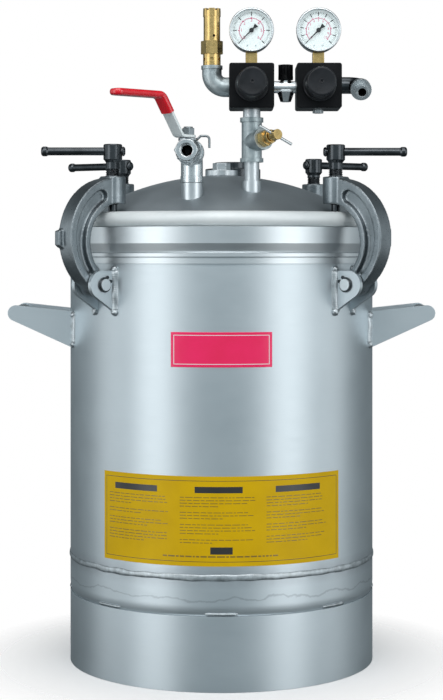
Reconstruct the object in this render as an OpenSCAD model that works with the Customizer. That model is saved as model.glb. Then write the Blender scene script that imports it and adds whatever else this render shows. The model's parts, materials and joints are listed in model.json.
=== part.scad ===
// Resin pressure pot: a stainless tank with a dished lid held by four swing clamps, a material ball
// valve and an air column with two regulators. Millimetres, Z up, front towards -Y. The origin is the
// centre of the foot ring's lower face.

/* [Tank] */
// Outside diameter of the barrel
tank_d = 355.6; // [354:0.1:357]
// Thickness of the barrel, bottom and foot ring
wall = 3; // [2.5:0.5:3.5]
// Height of the foot ring
foot_h = 82; // [78:1:82]
// Height of the weld between bottom and barrel
weld_z = 124; // [122:1:130]
// Height of the tank's sealing face
rim_z = 475; // [472:1:478]

/* [Lid] */
// Outside diameter of the lid
lid_d = 368; // [366:1:370]
// Outside radius of the dome
dome_r = 300; // [295:1:305]
// Thickness of the dome
lid_wall = 4; // [3:0.5:5]

/* [Clamps] */
// Distance of the hinge pins from the tank's axis
pin_r = 192; // [191.5:0.1:193]
// Diameter of the hinge pins
pin_d = 13; // [12:0.5:14]
// Thickness of the cast arms
arm_t = 22; // [20:0.5:22]
// Diameter of the threaded spindles
spindle_d = 16; // [14:1:16]
// Diameter of the tommy bars
bar_d = 9; // [8:0.5:10]
// Length of the tommy bars
bar_l = 94; // [90:1:96]

/* [Handles] */
// Distance between the two side plates of a handle
handle_w = 96; // [90:1:100]
// Distance of the grip from the tank's axis
grip_r = 237.5; // [232:0.5:240]

/* [Air set] */
// Side length of the regulator bodies
reg_w = 50; // [48:1:50]
// Outside diameter of the pressure gauges
gauge_d = 50; // [48:1:50]
// Length of the ball valve's lever
lever_l = 104; // [90:1:110]

/* [Hidden] */
$fn = 64;
tank_r = tank_d / 2;
lid_r = lid_d / 2;
running_gap = 0.05;
contact_gap = 0.01;

// Tank
flange_z = rim_z - 11.5;
flange_r = tank_r + 5.7;
knuckle_r = tank_d / 10;
head_z = weld_z - 30;
knuckle_c = [tank_r - knuckle_r, head_z];
crown_c = [0, head_z + sqrt(pow(tank_d - knuckle_r, 2) - pow(knuckle_c.x, 2))];
tangent_a = atan2(knuckle_c.y - crown_c.y, knuckle_c.x);
stitch_count = 8;
stitch_a = 12;
stitch_t = 0.8;
panel_z = 136.4;
panel_h = 97.2;
panel_a = 46.9;
panel_t = 0.3;
badge_z = 351.5;
badge_h = 38;
badge_a = 18;
badge_t = 0.5;

// Lid
bead_z = rim_z + 29;
bead_r = 8.5;
bead_top = bead_z + 2 * bead_r;
dome_top = rim_z + 91;
dome_c = dome_top - dome_r;
chamfer_h = 10.6;
gasket_in = tank_r - 3.3;
gasket_out = tank_r + 1.7;
gasket_h = 3.2;
parting = 0.2;
socket_r = 12.5;
socket_z = rim_z + 78;
fill_port = [14, 90];
fill_port_r = 22;
feed_bore_r = 8;
air_bore_r = 6;

// Clamps: [angle round the tank, world angle of the tommy bar, drop of the head, arm has a side lug]
front_left = [-137, 180, 0, true];
front_right = [-39.5, 0, 0, false];
rear_left = [138, 150, 6, false];
rear_right = [46, 30, 4.5, false];
CLAMPS = [front_left, front_right, rear_left, rear_right];
pin_z = rim_z - 35;
ear_t = 5;
ear_y = arm_t / 2 + 1;
ear_round = 15.5;
arm_out_c = [pin_r - 25, rim_z + 17];
arm_out_r = 67;
arm_in_c = [pin_r - 30, rim_z + 12];
arm_in_r = 44;
eye_r = 13;
arm_c = [pin_r - 28, rim_z + 14];
boss_x = pin_r - 26;
boss_r = 14.5;
boss_z = rim_z + 55;
boss_h = 30.5;
head_r = 10.5;
head_top = rim_z + 121.5;
head_h = 18;
bar_drop = 8;
bar_short = 14;
bar_edge = 3;
rim_out = 9;
rim_in = 7;
recess_depth = 6.5;
recess_ends = [64, -46];
lug_z = rim_z + 5.5;
lug_t = 8;
bar_long = bar_l - bar_short;
clip_t = 1.2;
clip_r = pin_d / 2 - 0.8;

// Handles
handle_t = 4.5;
grip_z = rim_z - 69.5;
handle_end_r = 9.1;
handle_low = rim_z - 108;
handle_high = rim_z - 68.5;

// Material valve
material_x = -33;
material_y = -118;
valve_z = rim_z + 111;
valve_yaw = 4;
elbow_r = 12.25;
elbow_bend = 14;
stem_y = -46;
ball_r = 11;
bore_r = 6;
outlet_r = 7.5;
outlet_depth = 12;
outlet_y = -70;
mouth_across = 23.5;
neck_r = 8.5;
neck_h = 14;
valve_r = 14;
shank_r = 11;
lever_rest = 40;
lever_t = 3;
lever_w = 16.5;
lever_z = 14.5;
lever_flat = 13;
lever_rise = 43;
lever_run = 26.5;
grip_t = 7.4;
grip_w = 17.8;

// Air column, regulators and gauges
air_x = 34;
air_y = -100;
tee_z = rim_z + 102;
tee_h = 50;
tee_r = 11.4;
branch_a = -57;
branch_tilt = 7;
branch_z = tee_z + 22.5;
vent_pin_l = 46;
vent_pin_a = 25;
vent_pin_x = 47;
reg_x = [33.5, 108.5];
reg_y = -104;
reg_depth = 52;
reg_z = rim_z + 161;
port_z = reg_z + reg_w / 2;
port_r = 5.5;
front_y = reg_y - reg_depth / 2;
gauge_r = gauge_d / 2;
gauge_z = reg_z + reg_w + 38;
gauge_depth = 28;
dial_r = gauge_r - 2.4;
link_x = (reg_x[0] + reg_x[1]) / 2 + 1;
safety_x = -10.8;
safety_z = reg_z + 49;
safety_pipe_r = 11;
safety_bend = 15;
hose_tilt = 15;

// ---------- helpers ----------

// Points along an arc about c from angle a0 to angle a1
function arc(c, r, a0, a1, n = 24) =
    [for (i = [0:n]) let (a = a0 + (a1 - a0) * i / n) c + r * [cos(a), sin(a)]];

// Corners of a rectangle with rounded corners, centred on the origin
function rounded_rect(w, d, r) = [
    for (q = [0:3])
        let (c = [(q == 0 || q == 3 ? 1 : -1) * (w / 2 - r), (q < 2 ? 1 : -1) * (d / 2 - r)])
        each arc(c, r, 90 * q, 90 * q + 90, 6)
];

// Height of the dome's outer face at distance r from the axis
function dome_at(r) = dome_c + sqrt(pow(dome_r, 2) - pow(r, 2));

module tube(ro, ri, h) {
    difference() {
        cylinder(r = ro, h = h);
        translate([0, 0, -1]) cylinder(r = ri, h = h + 2);
    }
}

module hexagon(across, h) {
    cylinder(r = across / sqrt(3), h = h, $fn = 6);
}

// A flat shape given in radius and height, stood up in the XZ plane and centred on y
module upright(t, y = 0) {
    translate([0, y + t / 2, 0]) rotate([90, 0, 0]) linear_extrude(t) children();
}

// Points a cylinder's axis, drawn along +Z, towards -Y
module forward() {
    rotate([90, 0, 0]) children();
}

// Goes up for length a, turns towards +X and runs on for length b
module bent_rod(r, bend, a, b) {
    cylinder(r = r, h = a);
    translate([bend, 0, a]) rotate([90, 0, 0]) rotate([0, 0, 90])
        rotate_extrude(angle = 90) translate([bend, 0]) circle(r = r);
    translate([bend, 0, a + bend]) rotate([0, 90, 0]) cylinder(r = r, h = b);
}

module bent_pipe(ro, ri, bend, a, b) {
    difference() {
        bent_rod(ro, bend, a, b);
        translate([0, 0, -1]) bent_rod(ri, bend, a + 1, b + 1);
    }
}

module at_clamp(c) {
    rotate([0, 0, c[0]]) children();
}

module tank_body() {
    translate([0, 0, head_z]) cylinder(r = tank_r, h = rim_z - head_z);
}

module dome_body() {
    translate([0, 0, dome_c]) sphere(r = dome_r, $fn = 240);
}

module at_valve() {
    translate([material_x, material_y, valve_z]) rotate([0, 0, -valve_yaw]) children();
}

module at_stem() {
    at_valve() translate([0, stem_y, 0]) children();
}

// The lever points along +X here
module at_lever() {
    at_stem() rotate([0, 0, 180 + lever_rest + valve_yaw]) children();
}

module at_branch() {
    translate([air_x, air_y, branch_z]) rotate([0, 0, branch_a])
        rotate([0, 90 - branch_tilt, 0]) children();
}

module at_gauge(i) {
    translate([reg_x[i], reg_y - gauge_depth / 2, gauge_z]) rotate([-90, 0, 0]) children();
}

module at_hose() {
    translate([reg_x[1] + reg_w / 2, reg_y, port_z + 2]) rotate([hose_tilt - 90, 0, 0])
        rotate([0, 90, 0]) children();
}

// ---------- tank ----------

module tank_shell() {
    color("silver") translate([0, 0, weld_z]) tube(tank_r, tank_r - wall, flange_z - weld_z);
}

module tank_bottom() {
    color("silver") rotate_extrude() polygon(concat(
        arc(crown_c, tank_d, -90, tangent_a),
        arc(knuckle_c, knuckle_r, tangent_a, 0),
        [[tank_r, weld_z], [tank_r - wall, weld_z]],
        arc(knuckle_c, knuckle_r - wall, 0, tangent_a),
        arc(crown_c, tank_d - wall, tangent_a, -90)
    ));
}

module foot_ring() {
    color("silver") difference() {
        tube(tank_r, tank_r - wall, foot_h);
        translate([0, 0, foot_h - 4]) cylinder(r = tank_r - 1.8, h = 5);
    }
}

module tank_flange() {
    color("lightgrey") rotate_extrude() polygon([
        [tank_r - wall, flange_z],
        [tank_r + 2.7, flange_z],
        [tank_r + 2.7, flange_z + 6.5],
        [tank_r + 1.8, flange_z + 6.8],
        [tank_r + 1.8, flange_z + 7.4],
        [flange_r, flange_z + 7.7],
        [flange_r, rim_z],
        [tank_r - wall, rim_z]
    ]);
}

function ear_outline() = concat(
    [[tank_r - 8, pin_z - 34.6]],
    arc([pin_r + 3.5, pin_z], ear_round, -52, 90),
    [[tank_r - 8, pin_z + ear_round]]
);

module clamp_brackets() {
    color("silver") for (c = CLAMPS) at_clamp(c) for (side = [-1, 1]) difference() {
        upright(ear_t, side * (ear_y + ear_t / 2)) polygon(ear_outline());
        rotate([0, 0, -c[0]]) tank_body();
        upright(60) translate([pin_r, pin_z]) circle(r = pin_d / 2 + 0.03);
    }
}

module hinge_pins() {
    half = ear_y + ear_t + 3.4;
    groove = ear_y + ear_t + 0.1;
    color("lightgrey") for (c = CLAMPS) at_clamp(c) translate([pin_r, 0, pin_z]) difference() {
        translate([0, half, 0]) rotate([90, 0, 0]) cylinder(r = pin_d / 2, h = 2 * half);
        for (side = [-1, 1])
            translate([0, side * (groove + clip_t / 2 + 0.05), 0]) rotate([90, 0, 0])
                translate([0, 0, -clip_t / 2 - 0.05]) tube(pin_d, clip_r, clip_t + 0.1);
    }
}

module pin_clips() {
    color("dimgrey") for (c = CLAMPS) at_clamp(c) for (side = [-1, 1])
        translate([pin_r, side * (ear_y + ear_t + clip_t / 2 + 0.15), pin_z])
            rotate([90, 0, 0]) translate([0, 0, -clip_t / 2]) difference() {
                union() {
                    cylinder(r = pin_d / 2 + 2, h = clip_t);
                    for (a = [115, 155]) rotate([0, 0, a])
                        translate([pin_d / 2 + 2.4, 0, 0]) cylinder(r = 2, h = clip_t);
                }
                translate([0, 0, -1]) cylinder(r = clip_r + 0.02, h = clip_t + 2);
                rotate([0, 0, 135]) translate([0, -1.2, -1]) cube([20, 2.4, clip_t + 2]);
            }
}

function handle_outline() = concat(
    [[tank_r - 16, handle_low], [tank_r - 3, handle_low]],
    arc([grip_r, grip_z], handle_end_r, -65, 98),
    [[tank_r - 16, handle_high]]
);

module handle_plates() {
    color("lightgrey") for (side = [0, 180]) rotate([0, 0, side]) for (y = [-1, 1]) difference() {
        upright(handle_t, y * (handle_w / 2)) polygon(handle_outline());
        tank_body();
    }
}

module handle_grips() {
    length = handle_w - handle_t;
    color("lightgrey") for (side = [0, 180]) rotate([0, 0, side])
        translate([grip_r, length / 2, grip_z]) rotate([90, 0, 0]) tube(8, 6, length);
}

// A fillet weld along a plate's face where it meets the barrel, drawn for a plate on +Y
module root_weld(y, z0, h) {
    difference() {
        translate([sqrt(pow(tank_r, 2) - pow(y, 2)), y, z0]) cylinder(r = 3, h = h);
        translate([tank_r - 30, y - 10, z0 - 1]) cube([60, 10, h + 2]);
        tank_body();
    }
}

module weld_beads() {
    ear_face = ear_y + ear_t;
    plate_face = handle_w / 2 + handle_t / 2;
    color("grey") {
        rotate_extrude() polygon(concat(
            [[tank_r, weld_z - 3.2]],
            [for (a = [-75:15:75]) [tank_r + 1.6 * cos(a), weld_z + 3.2 * sin(a)]],
            [[tank_r, weld_z + 3.2]]
        ));
        for (i = [0:stitch_count - 1]) rotate([0, 0, -90 - stitch_a / 2 + 360 * i / stitch_count])
            rotate_extrude(angle = stitch_a) polygon([
                [tank_r - 1.6, foot_h + 0.1],
                [tank_r + stitch_t, foot_h + 0.1],
                [tank_r + stitch_t, foot_h + 4],
                [tank_r + 0.2, head_z - 3],
                [tank_r, head_z - 3],
                [tank_r - 0.55, head_z - 7]
            ]);
        for (c = CLAMPS) at_clamp(c) for (m = [0, 1]) mirror([0, m, 0])
            root_weld(ear_face, pin_z - 27, 40);
        for (side = [0, 180]) rotate([0, 0, side]) for (m = [0, 1]) mirror([0, m, 0])
            root_weld(plate_face, handle_low + 1, 37);
    }
}

// A thin plate wrapped on the barrel, centred on the front
module wrapped_plate(half_angle, z, h, t) {
    rotate([0, 0, -90 - half_angle]) rotate_extrude(angle = 2 * half_angle)
        translate([tank_r + contact_gap, z]) square([t, h]);
}

module label_plates() {
    color("gold") wrapped_plate(panel_a, panel_z, panel_h, panel_t);
    color("firebrick") wrapped_plate(badge_a, badge_z, badge_h, badge_t);
}

// ---------- lid ----------

module lid_dish() {
    foot = 157;
    inner = foot - 3;
    color("slategrey") difference() {
        rotate_extrude() polygon(concat(
            arc([0, dome_c], dome_r, 90, acos(foot / dome_r), 36),
            [[foot + 3, bead_top - 1.6], [foot + 5.5, bead_top - 1]],
            arc([lid_r - bead_r, bead_z + bead_r], bead_r, 90, -90, 20),
            [[inner, bead_z]],
            arc([0, dome_c], dome_r - lid_wall, acos(inner / (dome_r - lid_wall)), 90, 36)
        ));
        translate([material_x, material_y, socket_z - 40]) cylinder(r = feed_bore_r, h = 60);
        translate([air_x, air_y, socket_z - 40]) cylinder(r = air_bore_r, h = 60);
        translate([fill_port.x, fill_port.y, socket_z - 40]) cylinder(r = fill_port_r, h = 60);
    }
}

module lid_ring() {
    z0 = rim_z + parting;
    spigot = tank_r - wall - 0.5;
    color("lightgrey") rotate_extrude() polygon([
        [spigot - 10, bead_z],
        [lid_r, bead_z],
        [lid_r, z0 + chamfer_h],
        [lid_r - 3.6, z0],
        [gasket_out, z0],
        [gasket_out, rim_z + gasket_h],
        [spigot, rim_z + gasket_h],
        [spigot, rim_z - 7],
        [spigot - 4, rim_z - 7],
        [spigot - 4, rim_z + 5],
        [spigot - 10, rim_z + 9]
    ]);
}

module lid_gasket() {
    color([0.15, 0.15, 0.15]) translate([0, 0, rim_z])
        tube(gasket_out - 0.05, gasket_in + 0.35, gasket_h - 0.02);
}

module lid_sockets() {
    color("silver") difference() {
        union() {
            translate([material_x, material_y, socket_z - 30]) tube(socket_r, feed_bore_r, 30);
            translate([air_x, air_y, socket_z - 27]) tube(10.5, air_bore_r, 30);
            translate([fill_port.x, fill_port.y, socket_z - 21]) tube(28, fill_port_r, 34);
        }
        dome_body();
    }
}

// Plug on the lid's crown, and the plug under the right regulator
module blanking_plugs() {
    color("silver") {
        difference() {
            translate([0, 0, dome_top - 4]) {
                cylinder(r = 19, h = 10.5);
                hexagon(18.5, 19);
            }
            dome_body();
        }
        translate([reg_x[1], air_y, reg_z - 4]) {
            hexagon(11, 4);
            cylinder(r = 4.95, h = 10);
        }
    }
}

module port_plug() {
    top = socket_z + 13;
    color("dimgrey") translate([fill_port.x, fill_port.y, top]) {
        translate([0, 0, -12]) cylinder(r = fill_port_r - 0.1, h = 12);
        cylinder(r = 34, h = 12);
        cylinder(r = 22.5, h = 20);
    }
}

module riser_tube() {
    color("silver") translate([material_x, material_y, 0]) difference() {
        translate([0, 0, 64]) cylinder(r = 8, h = dome_at(122.5) - 64);
        translate([0, 0, 63]) cylinder(r = 6.5, h = 600);
        translate([0, 0, 56]) rotate([0, 30, 0]) cube([40, 40, 16], center = true);
    }
}

// ---------- material valve ----------

module valve_elbow() {
    low = socket_z - valve_z;
    color("silver") at_valve() difference() {
        union() {
            translate([0, 0, low + 0.5]) cylinder(r = 12.75, h = 7);
            rotate([0, 0, -90]) translate([0, 0, low + 7])
                bent_rod(elbow_r, elbow_bend, -low - 7 - elbow_bend, 3);
            translate([0, -elbow_bend, 0]) forward() cylinder(r = 15, h = 12);
        }
        rotate([0, 0, -90]) translate([0, 0, low - 1])
            bent_rod(8, elbow_bend, 1 - low - elbow_bend, 20);
    }
}

module valve_body() {
    mouth = -outlet_y;
    color("silver") at_valve() difference() {
        union() {
            translate([0, -elbow_bend - 12, 0]) forward() {
                rotate([0, 0, 30]) hexagon(27, 9);
                translate([0, 0, 8]) cylinder(r = shank_r, h = 6);
            }
            translate([0, stem_y, 0]) sphere(r = valve_r);
            translate([0, stem_y, 0]) cylinder(r = neck_r, h = neck_h);
            translate([0, outlet_y, 0]) rotate([-90, 0, 0]) {
                cylinder(r = mouth_across / 2 - 0.3, h = 2);
                translate([0, 0, 0.8]) hexagon(mouth_across, 12);
            }
        }
        translate([0, stem_y, 0]) sphere(r = ball_r + 0.1);
        translate([0, -10, 0]) forward() cylinder(r = bore_r, h = mouth - 11);
        translate([0, outlet_y - 1, 0]) rotate([-90, 0, 0]) cylinder(r = outlet_r, h = outlet_depth + 1);
        translate([0, stem_y, 0]) cylinder(r = 4 + running_gap, h = 20);
    }
}

module valve_ball() {
    color("lightgrey") at_lever() difference() {
        sphere(r = ball_r);
        translate([-20, 0, 0]) rotate([0, 90, 0]) cylinder(r = bore_r, h = 40);
        translate([0, 0, ball_r - 3]) cylinder(r = 4, h = 5);
    }
}

module valve_stem() {
    color("lightgrey") at_lever() {
        translate([0, 0, ball_r - 2.9]) cylinder(r = 4, h = lever_z - ball_r + 2.9);
        translate([0, 0, lever_z]) cylinder(r = 3, h = 11);
    }
}

// A bent wire fixed round the valve's neck, which the lever stops against
module stop_wire() {
    wire_r = 1.3;
    ring_z = neck_h - 1.4;
    wire_z = lever_z + 1.9;
    step = wire_z - ring_z;
    reach = 23;
    bend = 4;
    drop = 9;
    color("dimgrey") at_stem() rotate([0, 0, valve_yaw]) difference() {
        union() {
            translate([0, 0, ring_z - wire_r]) cylinder(r = 10.8, h = 2 * wire_r);
            translate([9.8, 0, ring_z]) rotate([0, 45, 0]) cylinder(r = wire_r, h = step * sqrt(2));
            translate([9.8 + step, 0, wire_z]) {
                sphere(r = wire_r);
                rotate([0, 90, 0]) cylinder(r = wire_r, h = reach - bend - 9.8 - step);
            }
            translate([reach - bend, 0, wire_z - bend]) rotate([90, 0, 0]) rotate_extrude(angle = 90)
                translate([bend, 0]) circle(r = wire_r);
            translate([reach, 0, wire_z - bend - drop]) cylinder(r = wire_r, h = drop);
        }
        translate([0, 0, ring_z - 5]) cylinder(r = neck_r + running_gap, h = 10);
    }
}

// Side view of the lever: flat at the stem, a steep rise, then level to the tip
function lever_path(d) =
    let (rise = atan2(lever_rise, lever_run))
    let (k = d * tan(rise / 2))
    [
        [lever_flat + k, lever_z + lever_t / 2 - d],
        [lever_flat + lever_run + k, lever_z + lever_t / 2 + lever_rise - d]
    ];

module valve_lever() {
    low = lever_path(lever_t / 2);
    high = lever_path(-lever_t / 2);
    color("lightgrey") at_lever() difference() {
        union() {
            upright(lever_w) polygon([
                [0, lever_z],
                low[0],
                low[1],
                [lever_l - 8, low[1].y],
                [lever_l - 8, high[1].y],
                high[1],
                high[0],
                [0, lever_z + lever_t]
            ]);
            translate([0, 0, lever_z]) cylinder(r = lever_w / 2, h = lever_t);
        }
        translate([0, 0, lever_z - 1]) cylinder(r = 3.03, h = lever_t + 2);
    }
}

module lever_grip() {
    low = lever_path(grip_t / 2);
    high = lever_path(-grip_t / 2);
    start = 0.6;
    cut = [lever_run, lever_rise] * start;
    color("red") at_lever() difference() {
        union() {
            upright(grip_w) polygon([
                low[0] + cut,
                low[1],
                [lever_l - grip_w / 2, low[1].y],
                [lever_l - grip_w / 2, high[1].y],
                high[1],
                high[0] + cut
            ]);
            translate([lever_l - grip_w / 2, 0, low[1].y + grip_t / 2]) rotate_extrude() polygon(concat(
                [[0, -grip_t / 2]],
                arc([(grip_w - grip_t) / 2, 0], grip_t / 2, -90, 90, 12),
                [[0, grip_t / 2]]
            ));
        }
        upright(lever_w + 0.1) polygon([
            lever_path(lever_t / 2 + 0.05)[0],
            lever_path(lever_t / 2 + 0.05)[1],
            [lever_l - 7.9, lever_path(lever_t / 2 + 0.05)[1].y],
            [lever_l - 7.9, lever_path(-lever_t / 2 - 0.05)[1].y],
            lever_path(-lever_t / 2 - 0.05)[1],
            lever_path(-lever_t / 2 - 0.05)[0]
        ]);
    }
}

module lever_nut() {
    color("grey") at_lever() translate([0, 0, lever_z + lever_t]) difference() {
        union() {
            hexagon(12.4, 7.5);
            cylinder(r = 5, h = 9);
        }
        translate([0, 0, -1]) cylinder(r = 3.03, h = 9.2);
    }
}

// ---------- air column ----------

module pipe_nipples() {
    color("silver") {
        translate([air_x, air_y, socket_z + 3]) tube(8.5, 5, tee_z - socket_z - 3);
        translate([air_x, air_y, tee_z + tee_h]) tube(9.8, 5, reg_z - tee_z - tee_h);
    }
}

module vent_tee() {
    color("silver") difference() {
        union() {
            translate([air_x, air_y, tee_z]) {
                cylinder(r = tee_r, h = tee_h);
                cylinder(r = 13.1, h = 4.5);
                translate([0, 0, tee_h - 5]) cylinder(r = 13.1, h = 5);
            }
            at_branch() {
                cylinder(r = tee_r, h = 23);
                translate([0, 0, 19]) cylinder(r = 12.4, h = 5);
            }
        }
        translate([air_x, air_y, tee_z - 1]) cylinder(r = 7, h = tee_h + 2);
        at_branch() cylinder(r = 6.5, h = 40);
    }
}

module vent_cock_body() {
    color("goldenrod") at_branch() difference() {
        union() {
            translate([0, 0, 14]) cylinder(r = 6.48, h = 11);
            translate([0, 0, 24.05]) hexagon(17, 9);
            translate([0, 0, 32]) cylinder(r = 7.5, h = 8);
        }
        cylinder(r = 3, h = 50);
        translate([0, 0, 26]) cylinder(r = 4 + running_gap, h = 20);
    }
}

module vent_screw() {
    color("goldenrod") at_branch() difference() {
        union() {
            translate([0, 0, 27]) cylinder(r = 4, h = 15);
            translate([0, 0, 41]) cylinder(r = 5.8, h = 11);
        }
        translate([0, 0, vent_pin_x]) rotate([0, 0, -vent_pin_a]) rotate([90, 0, 0])
            cylinder(r = 1.62, h = 20, center = true);
    }
}

module vent_pin() {
    color("silver") at_branch() translate([0, 0, vent_pin_x]) rotate([0, 0, -vent_pin_a])
        rotate([90, 0, 0]) cylinder(r = 1.6, h = vent_pin_l, center = true);
}

// ---------- regulators and gauges ----------

module regulator_bodies() {
    color([0.1, 0.1, 0.1]) for (x = reg_x) translate([x, reg_y, reg_z]) difference() {
        translate([0, reg_depth / 2, reg_w / 2]) forward()
            linear_extrude(reg_depth) polygon(rounded_rect(reg_w, reg_w, 2.5));
        translate([-reg_w, 0, reg_w / 2]) rotate([0, 90, 0]) cylinder(r = port_r, h = 2 * reg_w);
        translate([0, 0, reg_w / 2]) cylinder(r = 4.5, h = reg_w);
        translate([0, air_y - reg_y, -1]) cylinder(r = 5, h = reg_w / 2 + 1);
        translate([0, -10, reg_w / 2]) forward() cylinder(r = 4 + running_gap, h = reg_depth);
    }
}

module regulator_knob(i) {
    color([0.12, 0.12, 0.12]) translate([reg_x[i], front_y, port_z]) forward() {
        translate([0, 0, -12]) cylinder(r = 4, h = 14);
        rotate_extrude() polygon([
            [0, 0.4],
            [18.5, 0.4],
            [18.5, 10],
            [17.2, 13],
            [17.2, 14.5],
            [15.9, 42],
            [13.6, 45.5],
            [0, 46.5]
        ]);
    }
}

module regulator_knob_left() {
    regulator_knob(0);
}

module regulator_knob_right() {
    regulator_knob(1);
}

module gauge_stems() {
    stem_h = 13.5;
    color("goldenrod") for (x = reg_x) difference() {
        translate([x - 6.5, reg_y - 6.5, reg_z + reg_w]) cube([13, 13, stem_h]);
        translate([x, reg_y - 20, gauge_z]) rotate([-90, 0, 0]) cylinder(r = gauge_r, h = 40);
    }
}

module gauge_cases() {
    color("silver") for (i = [0, 1]) at_gauge(i) difference() {
        union() {
            cylinder(r = gauge_r, h = 8);
            translate([0, 0, 7]) cylinder(r = gauge_r - 1, h = gauge_depth - 7);
        }
        translate([0, 0, -1]) cylinder(r = dial_r, h = 9);
        translate([0, 0, 7]) cylinder(r = dial_r - 1, h = gauge_depth - 8.5);
    }
}

module gauge_dials() {
    color("white") for (i = [0, 1]) at_gauge(i) translate([0, 0, 7.15])
        tube(dial_r - 0.05, 0.9, 0.8);
}

module gauge_lenses() {
    color([0.9, 0.95, 1, 0.3]) for (i = [0, 1]) at_gauge(i) translate([0, 0, 1])
        cylinder(r = dial_r - 0.05, h = 1.5);
}

// The needle's long end points to the scale's zero, down and to the left
module pointer(i) {
    color([0.1, 0.1, 0.1]) at_gauge(i) {
        translate([0, 0, 4]) cylinder(r = 2.6, h = 1.2);
        translate([0, 0, 4]) cylinder(r = 0.84, h = 6);
        rotate([0, 0, 135]) translate([0, 0, 4.2]) linear_extrude(0.7) polygon([
            [-8, -2.8],
            [-4, -1],
            [17.5, -0.3],
            [17.5, 0.3],
            [-4, 1],
            [-8, 2.8]
        ]);
    }
}

module pointer_left() {
    pointer(0);
}

module pointer_right() {
    pointer(1);
}

module link_valve_body() {
    x0 = reg_x[0] + reg_w / 2;
    x1 = reg_x[1] - reg_w / 2;
    color("silver") difference() {
        union() {
            translate([x0, reg_y, port_z]) rotate([0, 90, 0]) cylinder(r = 6.7, h = x1 - x0);
            translate([link_x, reg_y, port_z]) cylinder(r = 6, h = 7.6);
            translate([link_x, reg_y, port_z - 16.5]) cylinder(r1 = 6, r2 = 10, h = 11.5, $fn = 6);
        }
        translate([x0 - 1, reg_y, port_z]) rotate([0, 90, 0]) cylinder(r = 4, h = x1 - x0 + 2);
        translate([link_x, reg_y, port_z]) cylinder(r = 3 + running_gap, h = 20);
    }
}

module link_valve_knob() {
    color([0.1, 0.1, 0.1]) translate([link_x, reg_y, port_z]) {
        translate([0, 0, 2]) cylinder(r = 3, h = 8);
        difference() {
            translate([0, 0, 8]) cylinder(r = 8.4, h = 17);
            for (a = [0:45:315]) rotate([0, 0, a])
                translate([9.6, 0, 12]) cylinder(r = 2, h = 14);
        }
    }
}

// ---------- safety valve and air inlet ----------

module safety_elbow() {
    run = reg_x[0] - reg_w / 2 - safety_x - safety_bend;
    rise = safety_z - port_z - safety_bend;
    color("lightgrey") translate([reg_x[0] - reg_w / 2, reg_y, port_z]) rotate([0, -90, 0])
        difference() {
            union() {
                bent_rod(safety_pipe_r, safety_bend, run, rise);
                translate([safety_z - port_z - 4, 0, run + safety_bend]) rotate([0, 90, 0])
                    cylinder(r = safety_pipe_r + 1, h = 4);
            }
            translate([0, 0, -1]) bent_rod(5.5, safety_bend, run + 1, rise + 10);
        }
}

module safety_valve_body() {
    color("goldenrod") translate([safety_x, reg_y, safety_z]) difference() {
        union() {
            cylinder(r = 9.9, h = 14);
            translate([0, 0, 13]) hexagon(21.4, 14.7);
            cylinder(r = 9.35, h = 55);
            translate([0, 0, 55]) cylinder(r = 9.9, h = 9);
        }
        translate([0, 0, -1]) cylinder(r = 4, h = 15);
        translate([0, 0, 15]) cylinder(r = 6.6, h = 38);
        translate([0, 0, 50]) cylinder(r = 3, h = 20);
        for (a = [30:60:330]) rotate([0, 0, a]) translate([6.7, 0, 7]) rotate([0, 90, 0])
            cylinder(r = 2, h = 5);
        for (a = [0, 180]) rotate([0, 0, a - 75]) translate([5, 0, 33]) rotate([0, 90, 0])
            cylinder(r = 1.5, h = 8);
        for (a = [0:60:120]) rotate([0, 0, a]) translate([-12, -1.6, 61.6]) cube([24, 3.2, 4]);
    }
}

module safety_valve_disc() {
    color("goldenrod") translate([safety_x, reg_y, safety_z + 15.05]) {
        cylinder(r = 6.54, h = 2.5);
        cylinder(r = 3, h = 7);
    }
}

// A round wire coil, as rings of points swept along a helix
module safety_valve_spring() {
    wire = 0.8;
    coil = 5.2;
    turns = 7;
    sides = 8;
    steps = 16 * turns;
    z0 = safety_z + 17.6 + wire;
    pitch = (35.4 - 2 * wire) / turns;
    points = [
        for (i = [0:steps]) for (j = [0:sides - 1])
            let (a = 360 * turns * i / steps)
            let (b = 360 * j / sides)
            [(coil + wire * cos(b)) * cos(a), (coil + wire * cos(b)) * sin(a),
                pitch * turns * i / steps + wire * sin(b)]
    ];
    sides_faces = [
        for (i = [0:steps - 1]) for (j = [0:sides - 1])
            let (k = (j + 1) % sides)
            [i * sides + j, (i + 1) * sides + j, (i + 1) * sides + k, i * sides + k]
    ];
    ends = [
        [for (j = [0:sides - 1]) j],
        [for (j = [sides - 1:-1:0]) steps * sides + j]
    ];
    color("silver") translate([safety_x, reg_y, z0])
        polyhedron(points = points, faces = concat(sides_faces, ends));
}

module hose_elbow() {
    color("dimgrey") at_hose() bent_pipe(9.4, 5, 13, 8, 8);
}

module hose_tail() {
    color("silver") at_hose() translate([21, 0, 21]) rotate([0, 90, 0]) difference() {
        union() {
            cylinder(r = 11.7, h = 8);
            cylinder(r = 7.2, h = 24);
        }
        translate([0, 0, -1]) cylinder(r = 4.6, h = 30);
    }
}

// ---------- clamps ----------

module arm_outline() {
    intersection() {
        difference() {
            translate(arm_out_c) circle(r = arm_out_r);
            translate(arm_in_c) circle(r = arm_in_r);
        }
        polygon([
            arm_c,
            [boss_x, arm_c.y + 110],
            [arm_c.x + 140, arm_c.y + 110],
            [arm_c.x + 140, arm_c.y - 98],
            [arm_c.x + 56, arm_c.y - 98]
        ]);
    }
    translate([pin_r, pin_z]) circle(r = eye_r);
}

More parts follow.
